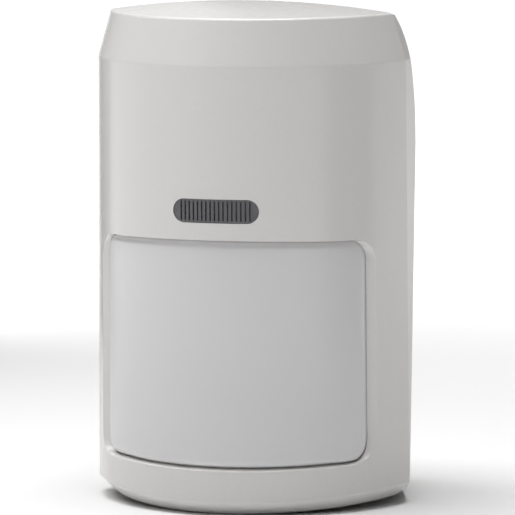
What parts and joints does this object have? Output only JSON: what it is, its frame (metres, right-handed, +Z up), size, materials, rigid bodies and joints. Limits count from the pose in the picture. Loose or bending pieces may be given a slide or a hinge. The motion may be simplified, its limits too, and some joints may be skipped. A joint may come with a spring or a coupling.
{
  "type": "motion sensor",
  "caption": "Wall-mounted passive infrared motion detector: half-round gloss white case with a recessed curved lens and a ribbed indicator window.",
  "frame": {"origin": "centre of the flat wall face at the back", "axes": "+Y out of the back towards the wall, front faces -Y, +Z up"},
  "size_m": [0.062, 0.0544, 0.0953],
  "materials": {
    "cover_white": "gloss white moulded plastic",
    "base_white": "gloss white moulded plastic",
    "lens_white": "smooth white polyethylene",
    "inner_white": "satin white plastic",
    "window_grey": "dark grey translucent plastic",
    "clear_plastic": "clear polycarbonate",
    "led_body": "milky epoxy",
    "board_green": "green solder mask",
    "zinc_steel": "zinc plated",
    "plated_metal": "tin plated",
    "dark_filter": "dark infrared filter",
    "black_plastic": "matte black",
    "cell_sleeve": "printed sleeve without text",
    "switch_blue": "matte blue",
    "trimmer_blue": "blue moulding",
    "chip_ceramic": "ceramic chip parts",
    "copper_wire": "enamelled copper"
  },
  "bodies": {
    "base": {"rear_base": "base_white", "circuit_board": "board_green", "board_screws": "zinc_steel", "sensor_can": "plated_metal", "sensor_filter": "dark_filter", "sensor_leads": "plated_metal", "sensor_shroud": "inner_white", "status_led": "led_body", "battery_holder": "black_plastic", "battery": "cell_sleeve", "battery_contact_positive": "plated_metal", "battery_contact_spring": "plated_metal", "cover_tamper_switch": "black_plastic", "wall_tamper_switch": "black_plastic", "wall_tamper_spring": "zinc_steel", "option_switch_body": "switch_blue", "trimmer_body": "trimmer_blue", "control_chips": "black_plastic", "chip_pins": "plated_metal", "surface_parts": "chip_ceramic", "storage_capacitor": "plated_metal", "crystal": "plated_metal", "radio_shield": "plated_metal", "antenna_coil": "copper_wire"},
    "cover": {"front_cover": "cover_white", "lens": "lens_white", "lens_retainer": "inner_white", "indicator_window": "window_grey", "light_pipe": "clear_plastic"},
    "screw_washer": {"cover_screw_washer": "zinc_steel"},
    "screw": {"cover_screw": "zinc_steel"},
    "cover_button": {"cover_tamper_button": "inner_white"},
    "wall_plunger": {"wall_tamper_plunger": "inner_white"},
    "trimmer": {"trimmer_rotor": "inner_white"},
    "slider_1": {"option_slider_1": "inner_white"},
    "slider_2": {"option_slider_2": "inner_white"},
    "slider_3": {"option_slider_3": "inner_white"},
    "slider_4": {"option_slider_4": "inner_white"}
  },
  "joints": [
    {"name": "cover_hinge", "type": "hinge", "parent": "base", "child": "cover", "pos_m": [0, -0.0289, 0.0477], "axis": [-1, 0, 0], "range_deg": [0, 30]},
    {"name": "screw_travel", "type": "slide", "parent": "base", "child": "screw_washer", "axis": [0, 0, -1], "range_m": [0, 0.0035]},
    {"name": "screw_turn", "type": "hinge", "parent": "screw_washer", "child": "screw", "pos_m": [0, -0.033, -0.045], "axis": [0, 0, -1], "range_deg": [0, 1260.5]},
    {"name": "cover_button_press", "type": "slide", "parent": "base", "child": "cover_button", "axis": [0, -1, 0], "range_m": [0, 0.00061]},
    {"name": "wall_plunger_press", "type": "slide", "parent": "base", "child": "wall_plunger", "axis": [0, -1, 0], "range_m": [0, 0.0012], "stiffness_N_per_m": 150, "springref_m": -0.003, "deforming": ["wall_tamper_spring"]},
    {"name": "trimmer_turn", "type": "hinge", "parent": "base", "child": "trimmer", "pos_m": [0.013, -0.0205, -0.0347], "axis": [0, -1, 0], "range_deg": [-135, 135]},
    {"name": "option_slide_1", "type": "slide", "parent": "base", "child": "slider_1", "axis": [0, 0, 1], "range_m": [0, 0.0016]},
    {"name": "option_slide_2", "type": "slide", "parent": "base", "child": "slider_2", "axis": [0, 0, 1], "range_m": [0, 0.0016]},
    {"name": "option_slide_3", "type": "slide", "parent": "base", "child": "slider_3", "axis": [0, 0, 1], "range_m": [0, 0.0016]},
    {"name": "option_slide_4", "type": "slide", "parent": "base", "child": "slider_4", "axis": [0, 0, 1], "range_m": [0, 0.0016]}
  ],
  "couplings": [
    {"joint": "screw_turn", "follows": "screw_travel", "rad_per_m": 6283.2},
    {"joint": "cover_button_press", "follows": "cover_hinge", "m_per_rad": 0.0011459}
  ]
}
